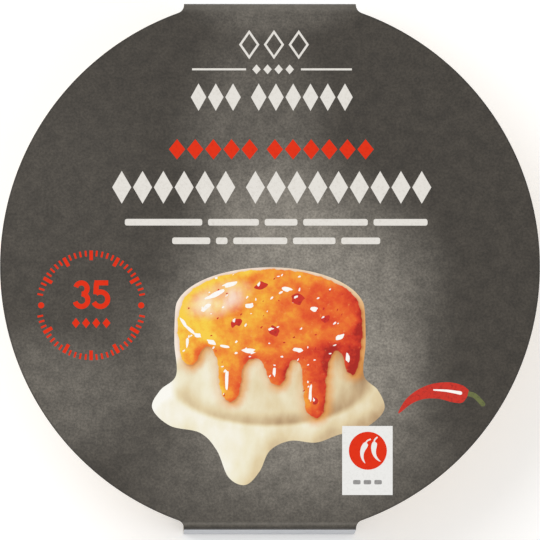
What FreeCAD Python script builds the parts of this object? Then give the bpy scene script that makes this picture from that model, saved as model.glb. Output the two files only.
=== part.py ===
"""Round pack of baking camembert: a shut round box of thin wood inside a folded card sleeve.

The pack lies flat with its printed face up. The origin is the centre of its underside,
+Z is up and +Y points to the top of the print. The sleeve is one strip of card: a round
printed face over the box, a slightly smaller round panel under it, and a narrow end wall
at each end of Y. The box shows between the two all round except behind the end walls.
"""
import FreeCAD, Part
import math
import os

import Sketcher

# Driving dimensions in millimetres: alias, value, what it is.
SIZES = [
    ("panel_diameter", 122.0, "the sleeve's round printed face"),
    ("under_inset", 2.0, "from the face's round edge in to that of the panel under the box"),
    ("pack_height", 38.0, "from the underside to the printed face"),
    ("board_thickness", 0.5, "the sleeve's card"),
    ("fold_inset", 1.5, "from the face's round edge in to the end wall's outer face"),
    ("fold_radius", 1.5, "outside of the sleeve's four folds"),
    ("tab_width", 38.9, "the end walls, and the tabs that join them to the panels"),
    ("notch_radius", 1.9, "inside corner between a tab and a panel's round edge"),
    ("lap_gap", 1.0, "from the lower fold up to the cut edge of the glued lap"),
    ("box_clearance", 0.1, "between the box's rounded edge and the inside of the folds"),
    ("lid_top", 1.2, "the box lid's top"),
    ("lid_wall", 1.2, "the box lid's rim"),
    ("lid_depth", 17.0, "the box lid's rim from its top down"),
    ("lid_clearance", 0.2, "between the lid's rim and the base inside it"),
    ("box_edge", 0.35, "the rounding of the box's worn edges"),
]

# Places worked out from the driving dimensions.
END_WALL = "(Sizes.panel_diameter / 2 - Sizes.fold_inset)"
GLUED_WALL = f"({END_WALL} - Sizes.board_thickness)"
WALL_INSIDE = f"({END_WALL} - 2 * Sizes.board_thickness)"
LAP_EDGE = "(Sizes.fold_radius + Sizes.lap_gap)"
LID_FACE = "(Sizes.pack_height - Sizes.board_thickness)"
LID_UNDERSIDE = f"({LID_FACE} - Sizes.lid_top)"
LID_RIM = f"({LID_FACE} - Sizes.lid_depth)"
BOX_SHIFT = "(-Sizes.board_thickness / 2)"
WALL_SPAN = f"(({GLUED_WALL} + {WALL_INSIDE}) / 2)"
FOLD_BORE = "(Sizes.fold_radius - Sizes.board_thickness)"
LID_RADIUS = f"({WALL_SPAN} - {FOLD_BORE} + Sizes.box_edge - Sizes.box_clearance)"
LID_BORE = f"({LID_RADIUS} - Sizes.lid_wall)"
BASE_RADIUS = f"({LID_BORE} - Sizes.lid_clearance)"
FACE_RADIUS = "(Sizes.panel_diameter / 2)"
UNDER_RADIUS = f"({FACE_RADIUS} - Sizes.under_inset)"
UNDER_CUT = "(2 * Sizes.board_thickness)"
TAB_HALF = "(Sizes.tab_width / 2)"
TAB_REACH = "(Sizes.panel_diameter / 2 + 2 * Sizes.fold_inset)"
OFFCUT = "(Sizes.panel_diameter / 2 + 4 * Sizes.fold_inset)"

# The notch's arc has to end before it reaches the end wall's outer face.
LARGEST_NOTCH = (
    f"(({END_WALL} * {END_WALL} - {FACE_RADIUS} * {FACE_RADIUS} + {TAB_HALF} * {TAB_HALF})"
    f" / (2 * ({FACE_RADIUS} - {TAB_HALF})))"
)
NOTCH = f"(min(Sizes.notch_radius; 0.9 * {LARGEST_NOTCH}))"

ORIGIN = (-1, 1)
X_AXIS = -1
Y_AXIS = -2
START = 1
END = 2
CENTRE = 3


def make_sheet(document):
    """The spreadsheet that holds the driving dimensions."""
    sheet = document.addObject("Spreadsheet::Sheet", "Sizes")
    for row, (alias, value, meaning) in enumerate(SIZES, start=1):
        sheet.set(f"A{row}", alias)
        sheet.set(f"B{row}", str(value))
        sheet.setAlias(f"B{row}", alias)
        sheet.set(f"C{row}", meaning)
    document.recompute()
    return sheet


def value_of(expression):
    """The present value of an expression in the sheet's sizes."""
    return float(doc.Sizes.evalExpression(expression))


def new_body(label):
    """An empty body whose label names its file."""
    body = doc.addObject("PartDesign::Body", label)
    body.Label = label
    return body


def new_sketch(body, name, plane):
    """A sketch on one of the body's own origin planes."""
    sketch = body.newObject("Sketcher::SketchObject", name)
    support = [item for item in body.Origin.OriginFeatures if item.Role == plane][0]
    sketch.AttachmentSupport = [(support, "")]
    sketch.MapMode = "FlatFace"
    return sketch


def drive(sketch, name, expression, *constraint):
    """Add a dimension to a sketch and bind it to an expression in the sheet's sizes."""
    index = sketch.addConstraint(Sketcher.Constraint(*constraint, value_of(expression)))
    sketch.renameConstraint(index, name)
    sketch.setExpression(f"Constraints.{name}", expression)


def add_polygon(sketch, name, corners):
    """A closed run of straight lines whose corners sit at pairs of expressions."""
    points = [FreeCAD.Vector(value_of(across), value_of(up), 0) for across, up in corners]
    lines = []
    for index, point in enumerate(points):
        following = points[(index + 1) % len(points)]
        lines.append(sketch.addGeometry(Part.LineSegment(point, following), False))
    for index, line in enumerate(lines):
        following = lines[(index + 1) % len(lines)]
        sketch.addConstraint(Sketcher.Constraint("Coincident", line, END, following, START))
    for index, (across, up) in enumerate(corners):
        line = lines[index]
        if across == "0":
            sketch.addConstraint(Sketcher.Constraint("PointOnObject", line, START, Y_AXIS))
        else:
            drive(sketch, f"{name}_{index}_across", across, "DistanceX", *ORIGIN, line, START)
        if up == "0":
            sketch.addConstraint(Sketcher.Constraint("PointOnObject", line, START, X_AXIS))
        else:
            drive(sketch, f"{name}_{index}_up", up, "DistanceY", *ORIGIN, line, START)


def add_arc(sketch, middle, radius, first_angle, last_angle):
    """An arc of a circle from one angle to another, counter-clockwise, in radians."""
    circle = Part.Circle(middle, FreeCAD.Vector(0, 0, 1), radius)
    return sketch.addGeometry(Part.ArcOfCircle(circle, first_angle, last_angle), False)


def add_line(sketch, first, last):
    """A straight line between two pairs of coordinates."""
    segment = Part.LineSegment(FreeCAD.Vector(*first, 0), FreeCAD.Vector(*last, 0))
    return sketch.addGeometry(segment, False)


def add_sleeve_outline(sketch, panel_radius):
    """The sleeve's outline from above: a round panel with a tab at each end of Y."""
    radius = value_of(panel_radius)
    half = value_of(TAB_HALF)
    notch = value_of(NOTCH)
    reach = value_of(TAB_REACH)
    notch_x = half + notch
    notch_y = math.sqrt((radius + notch) ** 2 - notch_x ** 2)
    turn = math.atan2(notch_y, notch_x)
    full = math.pi

    panel_right = add_arc(sketch, FreeCAD.Vector(), radius, -turn, turn)
    panel_left = add_arc(sketch, FreeCAD.Vector(), radius, full - turn, full + turn)
    notches = {
        (1, 1): add_arc(sketch, FreeCAD.Vector(notch_x, notch_y), notch, full, full + turn),
        (-1, 1): add_arc(sketch, FreeCAD.Vector(-notch_x, notch_y), notch, -turn, 0),
        (-1, -1): add_arc(sketch, FreeCAD.Vector(-notch_x, -notch_y), notch, 0, turn),
        (1, -1): add_arc(sketch, FreeCAD.Vector(notch_x, -notch_y), notch, full - turn, full),
    }
    sides = {}
    for across, up in notches:
        foot = (across * half, up * notch_y)
        sides[(across, up)] = add_line(sketch, foot, (across * half, up * reach))
    ends = {}
    for up in (1, -1):
        ends[up] = add_line(sketch, (half, up * reach), (-half, up * reach))

    def constrain(*items):
        sketch.addConstraint(Sketcher.Constraint(*items))

    constrain("Coincident", panel_right, CENTRE, *ORIGIN)
    constrain("Coincident", panel_left, CENTRE, *ORIGIN)
    constrain("Equal", panel_right, panel_left)
    for key in ((-1, 1), (-1, -1), (1, -1)):
        constrain("Equal", notches[(1, 1)], notches[key])
    constrain("Tangent", panel_right, END, notches[(1, 1)], END)
    constrain("Tangent", panel_right, START, notches[(1, -1)], START)
    constrain("Tangent", panel_left, START, notches[(-1, 1)], START)
    constrain("Tangent", panel_left, END, notches[(-1, -1)], END)
    constrain("Tangent", notches[(1, 1)], START, sides[(1, 1)], START)
    constrain("Tangent", notches[(-1, 1)], END, sides[(-1, 1)], START)
    constrain("Tangent", notches[(-1, -1)], START, sides[(-1, -1)], START)
    constrain("Tangent", notches[(1, -1)], END, sides[(1, -1)], START)
    for up, end in ends.items():
        constrain("Coincident", end, START, sides[(1, up)], END)
        constrain("Coincident", end, END, sides[(-1, up)], END)
        constrain("Symmetric", end, START, end, END, Y_AXIS)
        constrain("Vertical", sides[(1, up)])
        constrain("Vertical", sides[(-1, up)])
    constrain("Symmetric", ends[1], START, ends[-1], START, X_AXIS)
    drive(sketch, "panel_radius", panel_radius, "Radius", panel_right)
    drive(sketch, "notch_radius", NOTCH, "Radius", notches[(1, 1)])
    drive(sketch, "tab_half", TAB_HALF, "DistanceX", *ORIGIN, ends[1], START)
    drive(sketch, "tab_reach", TAB_REACH, "DistanceY", *ORIGIN, ends[1], START)


def edges_along_x(shape, corners):
    """Names of the edges that run along X through pairs of Y and Z values."""
    names = []
    for index, edge in enumerate(shape.Edges, start=1):
        box = edge.BoundBox
        flat = box.YLength < 1e-6 and box.ZLength < 1e-6
        for y, z in corners:
            if flat and abs(box.YMin - y) < 1e-6 and abs(box.ZMin - z) < 1e-6:
                names.append(f"Edge{index}")
    return names


def add_fold_rounding(body, base, name, corners, radius):
    """Round the folds that run along X through pairs of expressions."""
    doc.recompute()
    places = [(value_of(y), value_of(z)) for y, z in corners]
    fillet = body.newObject("PartDesign::Fillet", name)
    fillet.Base = (base, edges_along_x(base.Shape, places))
    fillet.setExpression("Radius", radius)
    return fillet


def add_offcut(body, name, panel_radius, depth=None):
    """Cut away all that lies outside the sleeve's outline, right through or up to a depth."""
    outline = new_sketch(body, f"{name}Outline", "XY_Plane")
    add_polygon(outline, "offcut", [
        (f"-{OFFCUT}", f"-{OFFCUT}"),
        (OFFCUT, f"-{OFFCUT}"),
        (OFFCUT, OFFCUT),
        (f"-{OFFCUT}", OFFCUT),
    ])
    add_sleeve_outline(outline, panel_radius)
    doc.recompute()
    before = body.Shape.Volume
    offcut = body.newObject("PartDesign::Pocket", f"{name}Offcut")
    offcut.Profile = outline
    offcut.Reversed = True
    if depth is None:
        offcut.Type = "ThroughAll"
    else:
        offcut.setExpression("Length", depth)
    doc.recompute()
    if not offcut.Shape.Volume < before:
        raise RuntimeError(f"{name}Offcut cut nothing away")


def make_sleeve():
    """One strip of card folded round the box and glued at the wall on the +Y side."""
    body = new_body("sleeve")

    outer_corners = [
        (f"-{END_WALL}", "0"),
        (GLUED_WALL, "0"),
        (GLUED_WALL, LAP_EDGE),
        (END_WALL, LAP_EDGE),
        (END_WALL, "Sizes.pack_height"),
        (f"-{END_WALL}", "Sizes.pack_height"),
    ]
    inner_corners = [
        (f"-{GLUED_WALL}", "Sizes.board_thickness"),
        (WALL_INSIDE, "Sizes.board_thickness"),
        (WALL_INSIDE, LID_FACE),
        (f"-{GLUED_WALL}", LID_FACE),
    ]
    loop = new_sketch(body, "SleeveLoop", "YZ_Plane")
    add_polygon(loop, "outer", outer_corners)
    add_polygon(loop, "inner", inner_corners)
    strip = body.newObject("PartDesign::Pad", "SleeveStrip")
    strip.Profile = loop
    strip.SideType = "Symmetric"
    strip.setExpression("Length", "Sizes.panel_diameter")

    folds = [outer_corners[0], outer_corners[1], outer_corners[4], outer_corners[5]]
    outside = add_fold_rounding(body, strip, "OuterFolds", folds, "Sizes.fold_radius")
    add_fold_rounding(body, outside, "InnerFolds", inner_corners, FOLD_BORE)

    add_offcut(body, "Face", FACE_RADIUS)
    add_offcut(body, "Under", UNDER_RADIUS, depth=UNDER_CUT)
    return body


def circles_at(shape, places):
    """Names of the circular edges round Z at pairs of radius and height."""
    names = []
    for index, edge in enumerate(shape.Edges, start=1):
        curve = edge.Curve
        if not isinstance(curve, Part.Circle):
            continue
        for radius, height in places:
            if abs(curve.Radius - radius) < 1e-6 and abs(curve.Center.z - height) < 1e-6:
                names.append(f"Edge{index}")
    return names


def make_turned_piece(label, corners, rounded):
    """A round piece turned about Z from half its profile, with some edges rounded."""
    body = new_body(label)
    profile = new_sketch(body, f"{label}_profile", "XZ_Plane")
    add_polygon(profile, "half", corners)
    turned = body.newObject("PartDesign::Revolution", f"{label}_turned")
    turned.Profile = profile
    turned.ReferenceAxis = (profile, ["V_Axis"])
    turned.Angle = 360
    doc.recompute()
    places = [(value_of(radius), value_of(height)) for radius, height in rounded]
    edge = body.newObject("PartDesign::Fillet", f"{label}_edge")
    edge.Base = (turned, circles_at(turned.Shape, places))
    edge.setExpression("Radius", "Sizes.box_edge")
    body.setExpression("Placement.Base.y", BOX_SHIFT)
    return body


def make_box_lid():
    """The box's lid: a round top with a rim that goes down over the base."""
    corners = [
        ("0", LID_UNDERSIDE),
        (LID_BORE, LID_UNDERSIDE),
        (LID_BORE, LID_RIM),
        (LID_RADIUS, LID_RIM),
        (LID_RADIUS, LID_FACE),
        ("0", LID_FACE),
    ]
    return make_turned_piece("box_lid", corners, [corners[3], corners[4]])


def make_box_base():
    """The box's base, shut and so left solid: it carries the lid on its top."""
    corners = [
        ("0", "Sizes.board_thickness"),
        (BASE_RADIUS, "Sizes.board_thickness"),
        (BASE_RADIUS, LID_UNDERSIDE),
        ("0", LID_UNDERSIDE),
    ]
    return make_turned_piece("box_base", corners, [corners[1]])


def check_and_write(pieces):
    """Stop on any failed object or shape, then write each piece to its own file."""
    doc.recompute()
    for item in doc.Objects:
        if "Invalid" in item.State or "Error" in item.State:
            raise RuntimeError(f"{item.Label} failed: {item.State}")
    for item in doc.Objects:
        if item.isDerivedFrom("Sketcher::SketchObject") and not item.FullyConstrained:
            raise RuntimeError(f"{item.Label} isn't fully constrained")
    for piece in pieces:
        shape = piece.Shape
        if shape.isNull() or not shape.isValid() or len(shape.Solids) != 1:
            raise RuntimeError(f"{piece.Label} isn't one valid solid")
    os.makedirs("parts", exist_ok=True)
    for piece in pieces:
        piece.Shape.exportStep(os.path.join("parts", f"{piece.Label}.step"))
        print(f"{piece.Label}: {piece.Shape.Volume:.1f} cubic millimetres")


doc = FreeCAD.newDocument("CamembertPack")
make_sheet(doc)
check_and_write([make_sleeve(), make_box_base(), make_box_lid()])
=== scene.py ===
"""Looks of a sleeved round pack of baking camembert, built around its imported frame.

The print is drawn flat on the card in millimetres, with x to the right and y up from the
middle of the round face, and the card is then folded round the wooden box. Drawing is in
millimetres and the meshes are in metres.
"""

import math
import random

import bpy
from mathutils import Matrix, Vector, geometry, kdtree


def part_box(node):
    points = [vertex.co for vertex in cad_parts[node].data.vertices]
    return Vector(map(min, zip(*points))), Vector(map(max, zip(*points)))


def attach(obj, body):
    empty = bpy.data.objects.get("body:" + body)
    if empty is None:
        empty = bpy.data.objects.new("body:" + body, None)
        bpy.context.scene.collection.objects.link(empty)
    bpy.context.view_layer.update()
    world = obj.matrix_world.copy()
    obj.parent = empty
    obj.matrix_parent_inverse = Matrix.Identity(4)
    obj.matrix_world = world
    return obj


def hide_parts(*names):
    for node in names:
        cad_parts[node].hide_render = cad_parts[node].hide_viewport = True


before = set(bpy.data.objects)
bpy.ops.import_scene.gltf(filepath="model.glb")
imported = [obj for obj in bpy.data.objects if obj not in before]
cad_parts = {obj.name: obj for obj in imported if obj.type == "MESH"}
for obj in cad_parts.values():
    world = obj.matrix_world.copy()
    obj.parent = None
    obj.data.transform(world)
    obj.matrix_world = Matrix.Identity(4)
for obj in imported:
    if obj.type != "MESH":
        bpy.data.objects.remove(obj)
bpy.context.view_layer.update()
MM = 0.001

# ---------------------------------------------------------------- sizes, from the frame
SLEEVE_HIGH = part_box("sleeve")[1] / MM
LID_LOW, LID_HIGH = (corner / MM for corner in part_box("box_lid"))
BASE_LOW, BASE_HIGH = (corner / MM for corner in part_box("box_base"))

RADIUS = SLEEVE_HIGH.x
WALL = SLEEVE_HIGH.y
TOP = SLEEVE_HIGH.z
BOARD = BASE_LOW.z
SLEEVE_POINTS = [v.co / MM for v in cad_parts["sleeve"].data.vertices]
TAB = max(point.x for point in SLEEVE_POINTS if point.y < -0.9999 * WALL)
UNDER_RADIUS = max(point.x for point in SLEEVE_POINTS if point.z < BOARD / 2)

# Sizes that the frame's boxes don't give.
FOLD = 1.5          # radius of the card's folds
NOTCH = 1.9         # radius of the notch at each corner of a tab
LAP_EDGE = 2.5      # height of the lap's lower edge
FLAP_TOP = 35.5     # height of the glued flap's upper edge
GLUE = 0.02         # gap between the lap and the flap
EDGE_ROUND = 0.35   # rounding of the box's edges
BEND_STEPS = 8
BEND = FOLD * math.pi / 2

# How finely the card's outline is drawn, in degrees, and how close its points may come.
ROUND_STEP = 0.75
NOTCH_STEP = 9
CREASE_ROOM = 0.06
LEAST_STEP = 0.02
SHARP = math.radians(35)


# ---------------------------------------------------------------- the folded card
def card_runs():
    """The card's outer face as straight runs and bends, from its glued flap to its lap.

    The flap goes down inside the +Y wall, the card crosses under the box, goes up the -Y
    wall, crosses over the box and ends at the lap on the +Y wall. Each run holds how far
    along the card it starts and ends, whether it bends, where it starts and which way it
    runs, in Y and Z. Along the card, 0 is the middle of the printed face.
    """
    flap = WALL - BOARD - GLUE
    lengths = [
        FLAP_TOP - FOLD, None, flap + WALL - 2 * FOLD, None, TOP - 2 * FOLD, None,
        2 * (WALL - FOLD), None, TOP - FOLD - LAP_EDGE,
    ]
    before_face = sum(BEND if length is None else length for length in lengths[:6])
    along = -before_face - (WALL - FOLD)
    point, heading = Vector((flap, FLAP_TOP)), Vector((0, -1))
    runs = []
    for length in lengths:
        inward = Vector((heading.y, -heading.x))
        end = along + (BEND if length is None else length)
        runs.append((along, end, length is None, point, heading))
        if length is None:
            point, heading = point + (inward + heading) * FOLD, inward
        else:
            point = point + heading * length
        along = end
    return runs


RUNS = card_runs()
CARD_START = RUNS[0][0]


def fold(along, depth=0.0):
    """Y and Z of a point this far along the card and this deep under its outer face."""
    run = next((run for run in RUNS if along <= run[1] + 1e-7), RUNS[-1])
    start, _, bends, point, heading = run
    inward = Vector((heading.y, -heading.x))
    if not bends:
        return point + heading * (along - start) + inward * depth
    turned = (along - start) / FOLD
    spoke = heading * math.sin(turned) - inward * math.cos(turned)
    return point + inward * FOLD + spoke * (FOLD - depth)


# Along the card, the middles of the under panel and of the printed face, with their radii.
PANELS = [((RUNS[2][0] + RUNS[2][1]) / 2, UNDER_RADIUS), (0.0, RADIUS)]


def notch_heights(radius):
    """How far from a panel's middle its round edge ends, and where its notches end."""
    notch_y = math.sqrt((radius + NOTCH) ** 2 - (TAB + NOTCH) ** 2)
    return notch_y * radius / (radius + NOTCH), notch_y


def half_width(along):
    """Half the card's width: a tab's, a round panel's, or that of the notch between."""
    for middle, radius in PANELS:
        y = abs(fold(along)[0]) if abs(along - middle) < radius else WALL
        round_y, notch_y = notch_heights(radius)
        if y <= round_y:
            return math.sqrt(radius ** 2 - y ** 2)
        if y < notch_y:
            return TAB + NOTCH - math.sqrt(NOTCH ** 2 - (notch_y - y) ** 2)
    return TAB


def card_stations():
    """Where along the card its outline gets a point, and those where a crease crosses it."""
    creases = set()
    for start, end, bends, _, _ in RUNS:
        steps = BEND_STEPS if bends else 1
        creases.update(round(start + (end - start) * k / steps, 6) for k in range(steps + 1))
    stations = set(creases)
    for middle, radius in PANELS:
        round_y, notch_y = notch_heights(radius)
        heights = [radius * math.sin(math.radians(ROUND_STEP * k)) for k in range(100)]
        heights = [y for y in heights if y < round_y]
        heights += [notch_y - NOTCH * math.sin(math.radians(NOTCH_STEP * k)) for k in range(9)]
        for y in heights:
            reach = y
            if y > WALL - FOLD:
                reach = WALL - FOLD + FOLD * math.asin(min(1, (y - WALL + FOLD) / FOLD))
            stations.update((round(middle - reach, 6), round(middle + reach, 6)))
    kept = []
    for along in sorted(stations):
        near_crease = any(abs(along - crease) < CREASE_ROOM for crease in creases)
        has_room = not kept or along - kept[-1] > LEAST_STEP
        if along in creases or not near_crease and has_room:
            kept.append(along)
    return kept, creases


# ---------------------------------------------------------------- flat shapes for the print
def arc(x, y, radius, first, last, steps=16):
    """Points on an arc between two angles in degrees."""
    angles = [math.radians(first + (last - first) * k / steps) for k in range(steps + 1)]
    return [(x + radius * math.cos(a), y + radius * math.sin(a)) for a in angles]


def disc(x, y, radius, steps):
    """A circle of so many sides."""
    return arc(x, y, radius, 0, 360, steps)[:-1]


def lozenge(x, y, width, height):
    """A diamond."""
    return [(x + width / 2, y), (x, y + height / 2), (x - width / 2, y), (x, y - height / 2)]


def bar(x, y, width, height, corner=0.0):
    """A rectangle with rounded corners."""
    w, h = width / 2 - corner, height / 2 - corner
    if corner == 0:
        return [(x + w, y + h), (x - w, y + h), (x - w, y - h), (x + w, y - h)]
    points = []
    for quarter, (i, j) in enumerate([(1, 1), (-1, 1), (-1, -1), (1, -1)]):
        points += arc(x + i * w, y + j * h, corner, quarter * 90, quarter * 90 + 90, 6)
    return points


def curve(points, closed=False, steps=8):
    """A smooth line through given points."""
    count = len(points)
    spots = [Vector(p) for p in points]
    line = []
    for k in range(count if closed else count - 1):
        if closed:
            a, b, c, d = (spots[(k + j) % count] for j in (-1, 0, 1, 2))
        else:
            a, b, c, d = (spots[min(max(k + j, 0), count - 1)] for j in (-1, 0, 1, 2))
        for j in range(steps):
            t = j / steps
            spot = b * 2 + (c - a) * t + (a * 2 - b * 5 + c * 4 - d) * t ** 2
            spot += (b * 3 - a - c * 3 + d) * t ** 3
            line.append(tuple(spot / 2))
    if not closed:
        line.append(tuple(spots[-1]))
    return line


def stroke(line, widths, round_ends=True):
    """A line with a width, or with one width at each end, as an outline."""
    spots = [Vector(p) for p in line]
    first, last = widths if isinstance(widths, tuple) else (widths, widths)
    left, right = [], []
    for k, spot in enumerate(spots):
        way = (spots[min(k + 1, len(spots) - 1)] - spots[max(k - 1, 0)]).normalized()
        half = (first + (last - first) * k / (len(spots) - 1)) / 2
        side = Vector((-way.y, way.x)) * half
        left.append(tuple(spot + side))
        right.append(tuple(spot - side))
    if not round_ends:
        return right + left[::-1]

    def cap(spot, way, half):
        start = math.degrees(math.atan2(way.y, way.x))
        return arc(spot.x, spot.y, half, start - 90, start + 90, 8)[1:-1]

    far = cap(spots[-1], spots[-1] - spots[-2], last / 2)
    near = cap(spots[0], spots[0] - spots[1], first / 2)
    return right + far + left[::-1] + near


def is_inside(point, outline):
    """Whether a point lies inside a closed outline."""
    inside = False
    for a, b in zip(outline, outline[1:] + outline[:1]):
        if (a[1] > point[1]) != (b[1] > point[1]):
            crossing = a[0] + (point[1] - a[1]) * (b[0] - a[0]) / (b[1] - a[1])
            inside ^= point[0] < crossing
    return inside


# ---------------------------------------------------------------- the print
OFF_WHITE, RED, GREY, PALE = "ink_off_white", "ink_red", "ink_grey", "label_white"
CREAM, BIT, STEM, SHINE = "picture_cheese", "picture_chilli", "picture_stem", "picture_shine"
SLATE, UNDER = "print_slate", "print_under"
PLAIN, BACK, EDGE = "card_unprinted", "card_inside", "card_edge"


def lozenge_row(kind, words, x, y, pitch, gap, width, height):
    """Groups of lozenges in a centred row, like words of so many letters."""
    places, at = [], 0.0
    for word in words:
        places += [at + pitch * k for k in range(word)]
        at += pitch * word + gap
    middle = (places[0] + places[-1]) / 2
    return [(kind, lozenge(x + place - middle, y, width, height)) for place in places]


def heading_art():
    """Rows of lozenges and two rules, in the places of the lettering."""
    outlined = lozenge_row(OFF_WHITE, [3], 0.9, 50.2, 5.6, 0, 4.6, 6.6)
    outlined += lozenge_row(SLATE, [3], 0.9, 50.2, 5.6, 0, 3.4, 4.9)
    rules = [(OFF_WHITE, bar(-11.5, 44.6, 12.2, 0.45)), (OFF_WHITE, bar(12.75, 44.6, 11.5, 0.45))]
    rows = lozenge_row(OFF_WHITE, [4], 0.7, 44.6, 2.5, 0, 1.9, 2.2)
    rows += lozenge_row(OFF_WHITE, [3, 6], 0.4, 38.3, 3.9, 1.9, 3.5, 6.2)
    rows += lozenge_row(RED, [5, 6], 0.3, 26.5, 4.1, 1.6, 3.7, 4.6)
    rows += lozenge_row(OFF_WHITE, [6, 9], 0.4, 17.9, 4.7, 2.0, 4.3, 7.4)
    return outlined + rules + rows


def small_print_art():
    """Dashes as long as words in the places of the two small lines."""
    art = []
    for y, x, dashes in (
        (10.0, -32.8, (17.5, 11.5, 7.4, 14.6, 12.2)),
        (5.8, -22.1, (8.6, 2.6, 12.2, 9.6, 8.8)),
    ):
        for length in dashes:
            art.append((OFF_WHITE, bar(x + length / 2, y, length, 1.5, 0.5)))
            x += length + 1.3
    return art


def badge_art():
    """A kitchen timer's dial of ticks around a plain number of minutes."""
    x, y, outer = -40.4, -8.8, 12.4
    middle = Vector((x, y))
    at_the_dots = (14, 15, 16, 44, 45, 46)
    art = []
    for k in range(60):
        if k in at_the_dots:
            continue
        angle = math.radians(6 * k)
        inner, width = (10.2, 0.8) if k % 5 == 0 else (11.1, 0.45)
        way = Vector((math.sin(angle), math.cos(angle)))
        line = [middle + way * inner, middle + way * outer]
        art.append((RED, stroke(line, width, round_ends=False)))
    art += [(RED, disc(x + side * 11.3, y, 0.7, 20)) for side in (-1, 1)]
    art += [(RED, s) for s in digit_three(x - 2.2, y + 2.4)]
    art += [(RED, s) for s in digit_five(x + 2.2, y + 2.4)]
    return art + lozenge_row(RED, [4], x, y - 4.0, 2.3, 0, 1.8, 2.3)


DIGIT_STROKE = 1.15


def digit_three(x, y):
    """A plain 3 of two bowls."""
    return [
        stroke(arc(x, y + 1.38, 1.3, 165, -85), DIGIT_STROKE, round_ends=False),
        stroke(arc(x, y - 1.22, 1.45, 88, -165), DIGIT_STROKE, round_ends=False),
    ]


def digit_five(x, y):
    """A plain 5: a bar, a stem and a bowl."""
    return [
        bar(x + 0.1, y + 2.68, 3.1, DIGIT_STROKE),
        stroke([(x - 1.0, y + 2.7), (x - 1.15, y + 0.1)], DIGIT_STROKE, round_ends=False),
        stroke(arc(x - 0.1, y - 1.02, 1.65, 128, -155), DIGIT_STROKE, round_ends=False),
    ]


def chilli(x, y, size, turn, pod_kind, stem_kind):
    """A plain chilli: a bent pod that tapers to a tip, and a short stem."""
    turned = Matrix.Rotation(math.radians(turn), 2)

    def placed(points):
        spots = [turned @ Vector(point) * size for point in points]
        return curve([(x + p.x, y + p.y) for p in spots])

    stem = placed([(-2.5, 0.6), (-3.3, 0.9), (-3.9, 1.7)])
    pod = placed([
        (-2.7, 0.9), (-2.2, 1.35), (-1.4, 1.2), (-0.3, 0.75), (0.9, 0.6), (2.0, 0.85), (3.2, 1.5),
        (2.5, 0.5), (1.4, -0.2), (0.1, -0.55), (-1.3, -0.5), (-2.4, -0.1), (-2.9, 0.4),
    ])
    return [(stem_kind, stroke(stem, 0.42 * size)), (pod_kind, pod)]


def label_art():
    """A small white label with a red disc and a pair of plain chillies."""
    x, y = 22.0, -43.85
    art = [(PALE, bar(x, y, 11.4, 15.6))]
    art.append((RED, disc(x + 0.1, y + 2.2, 4.3, 48)))
    art += chilli(x - 1.2, y + 2.0, 0.78, -100, PALE, PALE)
    art += chilli(x + 1.4, y + 2.0, 0.78, -80, PALE, PALE)
    art += [(GREY, bar(x - 2.4 + 2.4 * k, y - 4.9, 1.7, 1.0, 0.3)) for k in range(3)]
    return art


# The pictured cheese: the middle and half sizes of its top face, and its height.
CHEESE_X, CHEESE_Y, CHEESE_ACROSS, CHEESE_UP = 0.0, -10.0, 21.4, 9.8
CHEESE_HEIGHT = 15.5


def top_edge(first, last, share=1.0, steps=12):
    """Points on the edge of the pictured cheese's top face, between two angles in degrees."""
    angles = [math.radians(first + (last - first) * k / steps) for k in range(steps + 1)]
    return [
        (CHEESE_X + share * CHEESE_ACROSS * math.cos(a), CHEESE_Y + share * CHEESE_UP * math.sin(a))
        for a in angles
    ]


def cheese_outline():
    """A round of baked cheese seen from a little above, standing in a pool of its own melt."""
    pool = [
        (-21.6, -17.4), (-21.2, -24.6), (-24.8, -28.0), (-26.6, -32.0), (-22.6, -36.0),
        (-15.8, -37.6), (-12.0, -41.6), (-9.4, -47.6), (-5.6, -49.4), (-2.4, -46.4),
        (0.0, -41.6), (4.6, -39.4), (10.4, -39.8), (15.6, -38.0), (21.6, -36.4),
        (25.8, -32.4), (24.4, -28.0), (21.2, -24.6), (21.6, -17.4),
    ]
    return curve(top_edge(0, 180) + pool, closed=True)


def glaze_outline():
    """Where the glaze lies: all over the top, with five tongues down the front of the wall."""
    tongues = [
        (-20.9, -13.4), (-20.2, -19.2), (-19.2, -21.6), (-17.6, -22.2), (-16.2, -20.8),
        (-15.4, -18.8), (-13.6, -18.2), (-11.9, -21.4), (-11.3, -27.2), (-10.6, -29.6),
        (-9.0, -30.5), (-7.4, -29.6), (-6.7, -27.0), (-6.0, -22.6), (-4.0, -20.8),
        (-1.8, -21.6), (-0.6, -24.6), (0.4, -26.3), (1.8, -26.8), (3.2, -25.8), (4.0, -23.0),
        (5.2, -21.2), (6.8, -22.0), (7.5, -26.0), (7.8, -31.0), (8.6, -33.2), (10.2, -34.2),
        (11.8, -33.2), (12.5, -30.6), (12.7, -24.8), (13.9, -20.0), (15.6, -19.0),
        (16.6, -21.4), (17.4, -23.8), (18.8, -24.4), (20.0, -22.4), (20.9, -14.6),
    ]
    return curve(top_edge(4, 176, share=0.95) + tongues, closed=True)


SCATTER = random.Random(11)


def splash(x, y, length, width, turn, points=9):
    """An uneven rounded patch, longer than it is wide."""
    turned = Matrix.Rotation(math.radians(turn), 2)
    ring = []
    for k in range(points):
        angle = math.tau * (k + SCATTER.uniform(-0.25, 0.25)) / points
        reach = SCATTER.uniform(0.6, 1.25) / 2
        ring.append(turned @ Vector((length * math.cos(angle), width * math.sin(angle))) * reach)
    return curve([(x + p.x, y + p.y) for p in ring], closed=True, steps=3)


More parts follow.
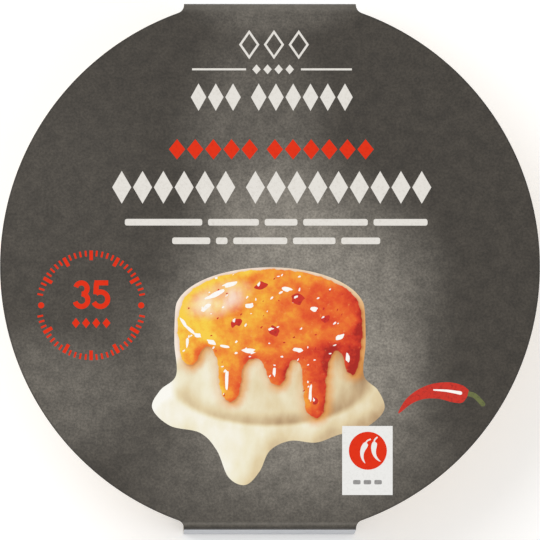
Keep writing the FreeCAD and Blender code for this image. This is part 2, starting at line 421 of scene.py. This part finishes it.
def glints():
    """Shine where the glaze bends over the top's front edge, on its tongues and on the top."""
    art = []
    for angle in (196, 207, 217, 230, 240, 256, 288, 320):
        (x, y), (next_x, next_y) = top_edge(angle, angle + 3, share=0.95, steps=1)
        turn = math.degrees(math.atan2(next_y - y, next_x - x))
        length, width = SCATTER.uniform(2.0, 3.4), SCATTER.uniform(0.8, 1.3)
        art.append((SHINE, splash(x, y, length, width, turn)))
    on_tongues = (
        (-18.7, -17.2, 2.8), (-9.7, -25.4, 4.2), (0.9, -23.8, 2.2), (9.1, -28.8, 4.4),
        (17.6, -20.6, 2.4),
    )
    for x, y, length in on_tongues:
        art.append((SHINE, splash(x, y, length, 0.8, 88)))
    on_top = (
        (-12.6, -6.4, 4.8, 25), (-9.2, -4.0, 3.2, 18), (-14.6, -9.4, 3.0, 35),
        (-4.6, -8.8, 2.4, 10), (3.8, -5.2, 2.2, -5), (9.8, -9.6, 2.0, -15),
    )
    for x, y, length, turn in on_top:
        art.append((SHINE, splash(x, y, length, 1.1, turn)))
    return art


def chilli_pieces():
    """Larger bits of chilli in the glaze, each with a glint."""
    art = []
    for x, y, size, turn in (
        (-2.0, -4.4, 1.3, 20), (6.4, -7.4, 1.5, -15), (-7.6, -12.6, 1.3, 35), (12.4, -11.8, 1.1, 5),
        (0.8, -14.6, 1.5, -25), (10.3, -30.4, 1.0, 60),
    ):
        glint = (x - 0.4 * size, y + 0.3 * size, 0.8 * size, 0.4 * size, turn + 40)
        art.append((BIT, splash(x, y, 2.1 * size, 1.5 * size, turn)))
        art.append((SHINE, splash(*glint)))
    return art


def scattered(kind, count, largest):
    """Small specks of one kind, scattered over the glaze and clear of the cheese's edge."""
    glaze, cheese = glaze_outline(), cheese_outline()
    art = []
    while len(art) < count:
        spot = (SCATTER.uniform(-20, 20), SCATTER.uniform(-30, -1))
        size = SCATTER.uniform(0.35, 1.0) * largest
        if is_inside(spot, glaze) and is_inside((1.04 * spot[0], spot[1] + largest), cheese):
            art.append((kind, splash(*spot, 1.9 * size, size, SCATTER.uniform(0, 90), points=6)))
    return art


def picture_art():
    """A glazed round of baked cheese with a whole chilli beside it, in simple shapes."""
    art = [(CREAM, cheese_outline())]
    art += scattered(BIT, 34, 0.42) + scattered(SHINE, 50, 0.5)
    art += glints() + chilli_pieces()
    art += chilli(37.0, -28.0, 2.7, -172, BIT, STEM)
    art.append((SHINE, stroke(curve([(43.0, -28.6), (40.0, -28.1), (37.0, -27.9)]), (0.8, 0.3))))
    return art


def face_art():
    """Everything on the round face, in the order it is laid down."""
    return heading_art() + small_print_art() + badge_art() + picture_art() + label_art()


GROUND_SHARE = 0.86


def ground_art():
    """The printed grounds, which cover most of each fold and end short of the end walls."""
    reach = WALL - FOLD + GROUND_SHARE * BEND
    past_the_card = 2 * RADIUS + 4
    (under, _), (face, _) = PANELS
    return [
        (SLATE, bar(0, face, past_the_card, 2 * reach)),
        (UNDER, bar(0, under, past_the_card, 2 * reach)),
    ]


# ---------------------------------------------------------------- from drawing to mesh
def counter_clockwise(points):
    """The same outline, running counter-clockwise."""
    area = sum(a[0] * b[1] - b[0] * a[1] for a, b in zip(points, points[1:] + points[:1]))
    return list(points) if area > 0 else list(points)[::-1]


def lay_out(art, loose):
    """Cut the flat card into triangles along its outline, its creases and the print.

    The loose points make the triangles smaller where they lie. Returns the points, the
    triangles and each triangle's uppermost kind of print.
    """
    stations, creases = card_stations()
    points, edges, faces = [], [], []

    def add_face(outline):
        first = len(points)
        points.extend(Vector(p) for p in outline)
        faces.append(list(range(first, first + len(outline))))

    right = [(half_width(along), along) for along in stations]
    left = [(-x, along) for x, along in right[::-1]]
    add_face(right + left)
    count = len(right)
    for k, along in enumerate(stations):
        if along in creases and 0 < k < count - 1:
            edges.append((k, 2 * count - 1 - k))
    for _, outline in art:
        add_face(counter_clockwise(outline))
    points += loose

    inside_only, tolerance = 1, 1e-6
    cut = geometry.delaunay_2d_cdt(points, edges, faces, inside_only, tolerance)
    flat, _, triangles, _, _, sources = cut
    kept, kinds, used = [], [], {}
    for triangle, source in zip(triangles, sources):
        if 0 in source:
            uppermost = max(source)
            kept.append([used.setdefault(k, len(used)) for k in triangle])
            kinds.append(art[uppermost - 1][0] if uppermost else PLAIN)
    return [flat[k] for k in used], kept, kinds


GRID = 0.55


def picture_grid(outline):
    """Loose points in rows inside an outline."""
    low = [min(p[k] for p in outline) for k in (0, 1)]
    high = [max(p[k] for p in outline) for k in (0, 1)]
    points = []
    for row in range(int((high[1] - low[1]) / GRID)):
        for column in range(int((high[0] - low[0]) / GRID)):
            point = (low[0] + (column + 0.5 * (row % 2)) * GRID, low[1] + (row + 0.5) * GRID)
            if is_inside(point, outline):
                points.append(Vector(point))
    return points


class Shore:
    """How far points lie from a closed outline, and how its nearest edge faces the light."""

    LIGHT = Vector((-0.75, 0.66))
    SPREAD = 1.3
    STEP = 0.25

    def __init__(self, outline):
        self.outline = outline
        self.normals = []
        spots = []
        ring = counter_clockwise(outline)
        for a, b in zip(ring, ring[1:] + ring[:1]):
            along = Vector(b) - Vector(a)
            steps = max(1, int(along.length / self.STEP))
            for k in range(steps):
                spots.append(Vector(a) + along * (k / steps))
                self.normals.append(Vector((along.y, -along.x)).normalized())
        self.tree = kdtree.KDTree(len(spots))
        for k, spot in enumerate(spots):
            self.tree.insert((spot.x, spot.y, 0), k)
        self.tree.balance()

    def measure(self, point):
        """The distance, positive inside, and from -1 to 1 how the edge faces the light."""
        spot = (point.x, point.y, 0)
        distance = self.tree.find(spot)[2]
        near = self.tree.find_range(spot, distance + self.SPREAD)
        facing = sum(self.normals[k].dot(self.LIGHT) for _, k, _ in near) / len(near)
        return distance if is_inside(point, self.outline) else -distance, facing


# The card's texture map. Its printed face has most of the width, and the rest of its outside
# and its inside lie beside the face in a narrow column. Its cut edge lies above the face.
# The shift, in millimetres of card, puts the lap's wall above the rest of the outside.
MAP_MARGIN = 0.005
FACE_SCALE = 0.80 / (2 * RADIUS)
COLUMN = 0.82
COLUMN_SCALE = 0.17 / (2 * RADIUS)
INSIDE_FOOT = 0.49
EDGE_LENGTH = 0.8
EDGE_FOOT, EDGE_HEAD = 0.83, 0.85
LAP_WALL_SHIFT = 200


def outer_map(x, along, middle):
    """Where a point of the card's outside lies on the map, in a triangle with this middle."""
    reach = WALL - FOLD + BEND
    if abs(middle) < reach:
        return (
            MAP_MARGIN + (x + RADIUS) * FACE_SCALE, MAP_MARGIN + (along + RADIUS) * FACE_SCALE,
        )
    start = CARD_START if middle < 0 else reach - LAP_WALL_SHIFT
    return COLUMN + (x + RADIUS) * COLUMN_SCALE, MAP_MARGIN + (along - start) * COLUMN_SCALE


def inner_map(x, along):
    """Where a point of the card's inside lies on the map."""
    return (
        COLUMN + (x + RADIUS) * COLUMN_SCALE, INSIDE_FOOT + (along - CARD_START) * COLUMN_SCALE,
    )


def add_fields(mesh, flat, cheese):
    """Keep with each point of the picture how it lies in the cheese and in its glaze."""
    low = Vector([min(p[k] for p in cheese) - 0.1 for k in (0, 1)])
    high = Vector([max(p[k] for p in cheese) + 0.1 for k in (0, 1)])
    for name, shore in (("rim", Shore(cheese)), ("glaze", Shore(glaze_outline()))):
        measured = {}
        for k, point in enumerate(flat):
            if low.x < point.x < high.x and low.y < point.y < high.y:
                measured[k] = shore.measure(point)
        for index, field in enumerate((f"{name}_depth", f"{name}_facing")):
            layer = mesh.attributes.new(field, "FLOAT", "POINT")
            for k, values in measured.items():
                layer.data[k].value = values[index]


def rim_edges(flat, triangles):
    """The edges round the flat card in turn, from its lowest point."""
    directed = {(t[k], t[(k + 1) % 3]) for t in triangles for k in range(3)}
    following = {a: b for a, b in directed if (b, a) not in directed}
    start = min(following, key=lambda k: (flat[k].y, flat[k].x))
    edges, k = [], start
    while not edges or k != start:
        edges.append((k, following[k]))
        k = following[k]
    return edges


def card_faces(flat, triangles, kinds):
    """The card's faces, each with its kind of surface and its places on the map."""
    count = len(flat)
    faces = []
    for triangle, kind in zip(triangles, kinds):
        middle = sum(flat[k].y for k in triangle) / 3
        places = [outer_map(flat[k].x, flat[k].y, middle) for k in triangle]
        faces.append((triangle, kind, places))
    for triangle in triangles:
        turned = triangle[::-1]
        places = [inner_map(flat[k].x, flat[k].y) for k in turned]
        faces.append(([count + k for k in turned], BACK, places))
    rim = rim_edges(flat, triangles)
    lengths = [(flat[b] - flat[a]).length for a, b in rim]
    total, run = sum(lengths), 0.0
    for (a, b), length in zip(rim, lengths):
        here = MAP_MARGIN + EDGE_LENGTH * run / total
        there = MAP_MARGIN + EDGE_LENGTH * (run + length) / total
        places = [(there, EDGE_FOOT), (here, EDGE_FOOT), (here, EDGE_HEAD), (there, EDGE_HEAD)]
        faces.append(([b, a, count + a, count + b], EDGE, places))
        run += length
    return faces


def add_card():
    """The printed and folded card as one closed mesh."""
    cheese = cheese_outline()
    flat, triangles, kinds = lay_out(ground_art() + face_art(), picture_grid(cheese))

    def spot(point, depth):
        y, z = fold(point.y, depth)
        return (point.x * MM, y * MM, z * MM)

    vertices = [spot(p, 0.0) for p in flat] + [spot(p, BOARD) for p in flat]
    faces = card_faces(flat, triangles, kinds)
    mesh = bpy.data.meshes.new("card_sleeve")
    mesh.from_pydata(vertices, [], [face for face, _, _ in faces])
    names = sorted({kind for _, kind, _ in faces})
    for name in names:
        mesh.materials.append(material(name))
    layer = mesh.uv_layers.new(name="OFBake")
    for polygon, (_, kind, places) in zip(mesh.polygons, faces):
        polygon.material_index = names.index(kind)
        for k, place in zip(polygon.loop_indices, places):
            layer.data[k].uv = place
    mesh.shade_smooth()
    mesh.set_sharp_from_angle(angle=SHARP)
    add_fields(mesh, flat, cheese)
    sleeve = bpy.data.objects.new("card_sleeve", mesh)
    bpy.context.scene.collection.objects.link(sleeve)
    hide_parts("sleeve")
    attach(sleeve, "root")


# ---------------------------------------------------------------- materials
def shade(red, green, blue):
    """A colour given as it shows on a screen, from 0 to 255, in the renderer's own terms."""
    def linear(value):
        value /= 255
        return value / 12.92 if value <= 0.04045 else ((value + 0.055) / 1.055) ** 2.4
    return (linear(red), linear(green), linear(blue), 1.0)


class Paint:
    """A material under construction. Each call adds a node and returns its output."""

    def __init__(self, name, roughness=0.5, specular=0.35):
        self.material = bpy.data.materials.new(name)
        self.material.use_nodes = True
        self.nodes = self.material.node_tree.nodes
        self.links = self.material.node_tree.links
        self.shader = self.nodes["Principled BSDF"]
        self.shader.inputs["Roughness"].default_value = roughness
        self.shader.inputs["Specular IOR Level"].default_value = specular
        source = self.nodes.new("ShaderNodeTexCoord").outputs["Object"]
        self.place = self.vector("SCALE", source, scale=1 / MM)

    def plug(self, socket, value):
        if isinstance(value, bpy.types.NodeSocket):
            self.links.new(value, socket)
        elif socket.type == "VECTOR":
            socket.default_value = value[:3]
        else:
            socket.default_value = value

    def vector(self, operation, *values, scale=None):
        node = self.nodes.new("ShaderNodeVectorMath")
        node.operation = operation
        for socket, value in zip(node.inputs, values):
            self.plug(socket, value)
        if scale is not None:
            self.plug(node.inputs["Scale"], scale)
        return node.outputs["Value" if operation == "LENGTH" else "Vector"]

    def maths(self, operation, *values):
        node = self.nodes.new("ShaderNodeMath")
        node.operation = operation
        for socket, value in zip(node.inputs, values):
            self.plug(socket, value)
        return node.outputs[0]

    def field(self, name):
        """A number kept with the mesh's points."""
        node = self.nodes.new("ShaderNodeAttribute")
        node.attribute_name = name
        return node.outputs["Fac"]

    def axis(self, index):
        node = self.nodes.new("ShaderNodeSeparateXYZ")
        self.plug(node.inputs[0], self.place)
        return node.outputs[index]

    def noise(self, size, detail=2.0, roughness=0.5, stretch=None):
        """Noise whose lumps are about this many millimetres across."""
        place = self.vector("MULTIPLY", self.place, stretch) if stretch else self.place
        node = self.nodes.new("ShaderNodeTexNoise")
        self.plug(node.inputs["Vector"], place)
        node.inputs["Scale"].default_value = 1 / size
        node.inputs["Detail"].default_value = detail
        node.inputs["Roughness"].default_value = roughness
        return node.outputs["Fac"]

    def wander(self, size, amount):
        """The place on the object, pushed about by noise by up to this many millimetres."""
        node = self.nodes.new("ShaderNodeTexNoise")
        self.plug(node.inputs["Vector"], self.place)
        node.inputs["Scale"].default_value = 1 / size
        push = self.vector("SUBTRACT", node.outputs["Color"], (0.5, 0.5, 0.5))
        push = self.vector("SCALE", push, scale=2.0 * amount)
        return self.vector("ADD", self.place, push)

    def oval(self, x, y, across, up, turn=0, place=None):
        """1 on this ellipse, less inside it and more outside."""
        node = self.nodes.new("ShaderNodeMapping")
        node.vector_type = "TEXTURE"
        self.plug(node.inputs["Vector"], place or self.place)
        node.inputs["Location"].default_value = (x, y, 0)
        node.inputs["Rotation"].default_value = (0, 0, math.radians(turn))
        node.inputs["Scale"].default_value = (across, up, 1e6)
        return self.vector("LENGTH", node.outputs[0])

    def ramp(self, value, low, high, start=0.0, end=1.0):
        """A smooth change from start to end while value goes from low to high."""
        node = self.nodes.new("ShaderNodeMapRange")
        node.interpolation_type = "SMOOTHSTEP"
        self.plug(node.inputs["Value"], value)
        limits = {"From Min": low, "From Max": high, "To Min": start, "To Max": end}
        for name, number in limits.items():
            node.inputs[name].default_value = number
        return node.outputs["Result"]

    def mix(self, share, first, second):
        node = self.nodes.new("ShaderNodeMix")
        node.data_type = "RGBA"
        self.plug(node.inputs[0], share)
        self.plug(node.inputs[6], first)
        self.plug(node.inputs[7], second)
        return node.outputs[2]

    def spectrum(self, value, stops):
        """A colour picked by a value from colours at given stops."""
        node = self.nodes.new("ShaderNodeValToRGB")
        self.plug(node.inputs[0], value)
        elements = node.color_ramp.elements
        while len(elements) < len(stops):
            elements.new(0.5)
        for element, (position, colour) in zip(elements, stops):
            element.position = position
            element.color = colour
        return node.outputs["Color"]

    def finish(self, colour, bump=None, height=0.02):
        """Set the colour and the relief, whose height is in millimetres."""
        self.plug(self.shader.inputs["Base Color"], colour)
        if bump is not None:
            node = self.nodes.new("ShaderNodeBump")
            node.inputs["Distance"].default_value = height * MM
            self.plug(node.inputs["Height"], bump)
            self.links.new(node.outputs[0], self.shader.inputs["Normal"])
        return self.material


# Pale smoke on the printed ground: place, half sizes and strength.
SMOKE = [
    (7.0, -13.5, 39, 46, 0.74),
    (2.5, 12.0, 19, 14, 0.32),
    (26.0, -24.0, 13, 15, 0.24),
    (-26.0, -18.0, 15, 20, 0.12),
    (-3.0, 30.0, 22, 30, 0.23),
    (1.0, 58.0, 22, 8, 0.24),
    (-49.0, -30.0, 30, 20, 0.29),
    (4.0, -46.0, 46, 23, 0.28),
    (33.0, -38.0, 15, 14, 0.10),
    (-48.0, 8.0, 30, 46, 0.05),
]


def slate_ground(paint, haze):
    """The print's warm dark grey with fine grain, with or without pale smoke."""
    colour = shade(61, 56, 49)
    if haze:
        drift = paint.wander(22, 5)
        for x, y, across, up, strength in SMOKE:
            spread = paint.oval(x, y, across, up, place=drift)
            share = paint.ramp(spread, 1.0, 0.3, 0.0, strength)
            colour = paint.mix(share, colour, shade(147, 141, 131))
    mottle = paint.ramp(paint.noise(3.2, detail=4, roughness=0.65), 0.3, 0.7, 0.82, 1.18)
    grain = paint.ramp(paint.noise(0.55, detail=3, roughness=0.75), 0.3, 0.7, 0.74, 1.3)
    return paint.vector("SCALE", colour, scale=paint.maths("MULTIPLY", mottle, grain))


def painted_fold_light_and_wear(paint, colour):
    """Painted light and shade on the folds, with some crease wear, and darker at the round edge."""
    y = paint.axis(1)
    # Painted light: paler towards the +Y fold's edge, as if that fold caught the light.
    far = paint.ramp(y, WALL - 2.4, WALL - 0.6, 0.0, 0.3)
    colour = paint.mix(far, colour, shade(126, 121, 113))
    # A pale line along the -Y crease: part crease wear, part painted highlight.
    from_crease = paint.maths("ABSOLUTE", paint.maths("ADD", y, WALL - 1.35))
    crease = paint.ramp(from_crease, 0.5, 0.05, 0.0, 0.3)
    colour = paint.mix(crease, colour, shade(132, 127, 119))
    # Painted shade: darker towards the -Y fold's edge, where the card turns away from the light.
    near = paint.ramp(y, 0.85 - WALL, 0.45 - WALL, 0.0, 0.45)
    colour = paint.mix(near, colour, shade(36, 34, 32))
    across = paint.vector("LENGTH", paint.vector("MULTIPLY", paint.place, (1, 1, 0)))
    rim = paint.ramp(across, RADIUS - 0.55, RADIUS - 0.1, 0.0, 0.45)
    beside_tab = paint.ramp(paint.maths("ABSOLUTE", paint.axis(0)), TAB, TAB + NOTCH)
    return paint.mix(paint.maths("MULTIPLY", rim, beside_tab), colour, shade(40, 38, 35))


def paint_slate(name):
    paint = Paint(name, roughness=0.48, specular=0.3)
    # The folds get painted light and shade, and some crease wear.
    colour = painted_fold_light_and_wear(paint, slate_ground(paint, haze=name == SLATE))
    return paint.finish(colour, paint.noise(0.7, detail=3), 0.012)


# The plain inks, each with the colour of its flecks.
INKS = {
    OFF_WHITE: (shade(227, 223, 216), shade(213, 208, 200)),
    RED: (shade(225, 48, 14), shade(211, 40, 10)),
    PALE: (shade(236, 235, 232), shade(226, 225, 221)),
    GREY: (shade(150, 148, 146), shade(120, 118, 116)),
    SHINE: (shade(252, 249, 244), shade(244, 236, 226)),
    STEM: (shade(104, 110, 62), shade(78, 84, 46)),
    BIT: (shade(204, 40, 20), shade(152, 24, 14)),
}


def paint_ink(name):
    paint = Paint(name, roughness=0.46, specular=0.1 if name == RED else 0.3)
    light, dark = INKS[name]
    speck = paint.noise(0.6, detail=3, roughness=0.7)
    colour = paint.mix(paint.ramp(speck, 0.45, 0.8), light, dark)
    return paint.finish(colour, paint.noise(0.7, detail=3), 0.012)


def paint_cheese(name):
    """Melted cheese, lit from the upper left, with glaze that is amber there and red elsewhere."""
    paint = Paint(name, roughness=0.36, specular=0.2)
    x, y = paint.axis(0), paint.axis(1)
    rim, rim_facing = paint.field("rim_depth"), paint.field("rim_facing")
    lump = paint.noise(5.0, detail=3, stretch=(1.3, 0.7, 1))
    fine = paint.noise(1.6, detail=3)

    # The cheese: white towards the light, tan at the right and under its folds.
    near_rim = paint.ramp(rim, 4.2, 0.0)
    light = paint.maths("MULTIPLY_ADD", paint.maths("MULTIPLY", near_rim, rim_facing), 0.34, 0.60)
    light = paint.maths("MULTIPLY_ADD", x, -0.007, light)
    light = paint.maths("MULTIPLY_ADD", paint.maths("SUBTRACT", lump, 0.5), 0.55, light)
    foot = paint.oval(CHEESE_X, CHEESE_Y - CHEESE_HEIGHT, CHEESE_ACROSS, CHEESE_UP)
    light = paint.maths("SUBTRACT", light, paint.ramp(foot, 0.7, 1.0, 0.0, 0.3))
    light = paint.maths("ADD", light, paint.ramp(foot, 1.0, 1.14, 0.0, 0.42))
    colour = paint.spectrum(light, [
        (0.0, shade(150, 112, 78)),
        (0.25, shade(198, 170, 130)),
        (0.48, shade(226, 208, 168)),
        (0.7, shade(239, 231, 203)),
        (1.0, shade(250, 248, 240)),
    ])

    # Glaze runs out into the cheese below it.
    wobble = paint.maths("MULTIPLY", paint.maths("SUBTRACT", fine, 0.5), 1.1)
    depth = paint.maths("ADD", paint.field("glaze_depth"), wobble)
    facing = paint.field("glaze_facing")
    away = paint.ramp(facing, 0.2, -0.8, 0.35, 1.0)
    stain = paint.maths("MULTIPLY", paint.ramp(depth, -2.8, 0.0, 0.0, 0.85), away)
    colour = paint.mix(stain, colour, shade(228, 152, 70))
    contact = paint.maths("MULTIPLY", paint.ramp(depth, -0.7, 0.0, 0.0, 0.5), away)
    colour = paint.mix(contact, colour, shade(170, 84, 36))

    # The glaze itself.
    blotch = paint.noise(4.6, detail=4, roughness=0.6)
    wall = paint.ramp(paint.oval(CHEESE_X, CHEESE_Y, CHEESE_ACROSS, CHEESE_UP), 0.9, 1.08)
    hue = paint.maths("MULTIPLY_ADD", x, 0.014, 0.44)
    hue = paint.maths("MULTIPLY_ADD", wall, 0.16, hue)
    hue = paint.maths("MULTIPLY_ADD", paint.maths("SUBTRACT", blotch, 0.5), 1.15, hue)
    edge = paint.ramp(depth, 2.2, 0.0)
    hue = paint.maths("MULTIPLY_ADD", paint.maths("MULTIPLY", edge, facing), -0.22, hue)
    glaze = paint.spectrum(hue, [
        (0.12, shade(247, 205, 70)),
        (0.32, shade(243, 166, 52)),
        (0.5, shade(236, 122, 44)),
        (0.7, shade(226, 84, 36)),
        (0.88, shade(206, 54, 30)),
        (1.0, shade(168, 32, 22)),
    ])
    grain = paint.noise(0.8, detail=2, roughness=0.6)
    glaze = paint.mix(paint.ramp(grain, 0.62, 0.8, 0.0, 0.35), glaze, shade(250, 176, 96))
    colour = paint.mix(paint.ramp(depth, -0.12, 0.12), colour, glaze)

    # A broad soft shine towards the light.
    shine = paint.ramp(paint.oval(-11.5, -7.5, 8.0, 4.0, 20), 1.15, 0.25, 0.0, 0.7)
    shine = paint.maths("MULTIPLY", shine, paint.ramp(lump, 0.35, 0.6, 0.35, 1.0))
    colour = paint.mix(shine, colour, shade(252, 248, 236))
    return paint.finish(colour, paint.noise(0.7, detail=3), 0.012)


# The card's bare surfaces, each with the colour of its fibres.
BARE_CARD = {
    PLAIN: (shade(209, 211, 215), shade(196, 198, 202)),
    BACK: (shade(196, 190, 178), shade(176, 168, 154)),
    EDGE: (shade(214, 208, 196), shade(186, 178, 164)),
}


def paint_card(name):
    paint = Paint(name, roughness=0.8, specular=0.2)
    light, dark = BARE_CARD[name]
    fibre = paint.noise(0.8, detail=4, roughness=0.7, stretch=(1, 0.45, 1))
    colour = paint.mix(paint.ramp(fibre, 0.35, 0.75), light, dark)
    return paint.finish(colour, fibre, 0.03)


def paint_wood(name):
    paint = Paint(name, roughness=0.72, specular=0.25)
    grain = paint.noise(1.6, detail=5, roughness=0.65, stretch=(0.05, 0.05, 1.6))
    colour = paint.mix(paint.ramp(grain, 0.3, 0.72), shade(232, 211, 174), shade(208, 177, 132))
    streak = paint.noise(3.0, detail=3, stretch=(0.03, 0.03, 1.2))
    colour = paint.mix(paint.ramp(streak, 0.55, 0.8, 0.0, 0.5), colour, shade(186, 149, 106))
    pores = paint.noise(0.5, detail=2, stretch=(0.12, 0.12, 2.0))
    colour = paint.mix(paint.ramp(pores, 0.58, 0.8, 0.0, 0.45), colour, shade(164, 126, 84))
    return paint.finish(colour, grain, 0.08)


WOOD = "poplar_wood"
MAKERS = {SLATE: paint_slate, UNDER: paint_slate, CREAM: paint_cheese, WOOD: paint_wood}
MAKERS.update(dict.fromkeys(INKS, paint_ink))
MAKERS.update(dict.fromkeys(BARE_CARD, paint_card))


def material(name):
    """The named material, made the first time it is asked for."""
    return bpy.data.materials.get(name) or MAKERS[name](name)


# ---------------------------------------------------------------- the wooden box
LAP_STEP = 0.5      # how far a strip's cut end stands out
LAP_ROOT = 0.15     # how far a lap reaches into the wall under it
LAP_SLICES = 20


def add_lap(name, low, high, radius, cut, fade):
    """The end of a bent strip of wood: a step at its cut end that fades into the round wall.

    It goes round the box's axis from the cut to where it fades, in degrees.
    """
    middle_y = (LID_LOW.y + LID_HIGH.y) / 2
    vertices, faces = [], []
    for k in range(LAP_SLICES + 1):
        angle = math.radians(cut + (fade - cut) * k / LAP_SLICES)
        crest = radius + LAP_STEP * (1 - k / LAP_SLICES) ** 1.5 + 0.01
        bevel = 0.3 * (crest - radius)
        inner = radius - LAP_ROOT
        profile = [(inner, low), (crest - bevel, low), (crest, low + bevel)]
        profile += [(crest, high - bevel), (crest - bevel, high), (inner, high)]
        for reach, z in profile:
            spot = (reach * math.cos(angle), middle_y + reach * math.sin(angle), z)
            vertices.append([value * MM for value in spot])
    size = len(profile)
    for k in range(LAP_SLICES):
        for j in range(size):
            a, b = k * size + j, k * size + (j + 1) % size
            faces.append([a, b, b + size, a + size])
    faces.append(list(range(size))[::-1])
    faces.append([LAP_SLICES * size + j for j in range(size)])
    if fade > cut:
        faces = [face[::-1] for face in faces]
    mesh = bpy.data.meshes.new(name)
    mesh.from_pydata(vertices, [], faces)
    mesh.materials.append(material(WOOD))
    mesh.shade_smooth()
    mesh.set_sharp_from_angle(angle=SHARP)
    lap = bpy.data.objects.new(name, mesh)
    bpy.context.scene.collection.objects.link(lap)
    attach(lap, "root")


FLOOR_GLOW = 0.26


def add_floor():
    """A pale floor that is seen as white outside the object's shadow."""
    mesh = bpy.data.meshes.new("floor")
    mesh.from_pydata([(-3, -3, 0), (3, -3, 0), (3, 3, 0), (-3, 3, 0)], [], [(0, 1, 2, 3)])
    floor = bpy.data.objects.new("floor", mesh)
    bpy.context.scene.collection.objects.link(floor)
    ground = bpy.data.materials.new("floor_white")
    ground.use_nodes = True
    tree = ground.node_tree
    shader = tree.nodes["Principled BSDF"]
    shader.inputs["Base Color"].default_value = (0.9, 0.9, 0.9, 1)
    shader.inputs["Roughness"].default_value = 0.9
    shader.inputs["Specular IOR Level"].default_value = 0.0
    shader.inputs["Emission Color"].default_value = (1, 1, 1, 1)
    path = tree.nodes.new("ShaderNodeLightPath")
    is_seen = path.outputs["Is Camera Ray"]
    for name in ("Is Glossy Ray", "Is Transmission Ray"):
        either = tree.nodes.new("ShaderNodeMath")
        either.operation = "MAXIMUM"
        tree.links.new(is_seen, either.inputs[0])
        tree.links.new(path.outputs[name], either.inputs[1])
        is_seen = either.outputs[0]
    lift = tree.nodes.new("ShaderNodeMath")
    lift.operation = "MULTIPLY"
    lift.inputs[1].default_value = FLOOR_GLOW
    tree.links.new(is_seen, lift.inputs[0])
    tree.links.new(lift.outputs[0], shader.inputs["Emission Strength"])
    mesh.materials.append(ground)


def add_light(name, place, target, size, power):
    lamp = bpy.data.lights.new(name, "AREA")
    lamp.size = size
    lamp.energy = power
    light = bpy.data.objects.new(name, lamp)
    light.location = place
    light.rotation_euler = (Vector(target) - Vector(place)).to_track_quat("-Z", "Y").to_euler()
    bpy.context.scene.collection.objects.link(light)


def add_world(strength):
    world = bpy.data.worlds.new("studio")
    world.use_nodes = True
    world.node_tree.nodes["Background"].inputs["Color"].default_value = (1, 1, 1, 1)
    world.node_tree.nodes["Background"].inputs["Strength"].default_value = strength
    bpy.context.scene.world = world


def add_camera():
    """A long lens high above the face and a little towards -Y, as the pack is seen."""
    face = TOP * MM
    place = Vector((-0.033, -0.174, face + 4.0))
    target = Vector((0, -0.0008, face))
    back = (place - target).normalized()
    right = Vector((0, 1, 0)).cross(back).normalized()
    up = back.cross(right)
    lens = bpy.data.cameras.new("camera")
    lens.sensor_width = 36
    lens.lens = 36 * (place - target).length / (2 * RADIUS * MM)
    camera = bpy.data.objects.new("camera", lens)
    camera.matrix_world = Matrix((right, up, back)).transposed().to_4x4()
    camera.location = place
    bpy.context.scene.collection.objects.link(camera)
    bpy.context.scene.camera = camera


add_card()
for node in ("box_lid", "box_base"):
    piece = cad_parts[node]
    piece.data.materials.clear()
    piece.data.materials.append(material(WOOD))
add_lap("lid_lap", LID_LOW.z + EDGE_ROUND, LID_HIGH.z - EDGE_ROUND, LID_HIGH.x, -22, 14)
add_lap("base_lap", BASE_LOW.z + EDGE_ROUND, LID_LOW.z - 0.1, BASE_HIGH.x, -4, -40)
add_floor()
add_world(0.6)
add_light("key", (-0.5, 0.45, 1.1), (0, 0, 0.03), 0.8, 6.5)
add_light("fill", (0.6, -0.5, 0.9), (0, 0, 0.03), 1.0, 2.2)
add_camera()
bpy.context.scene.view_settings.view_transform = "Standard"
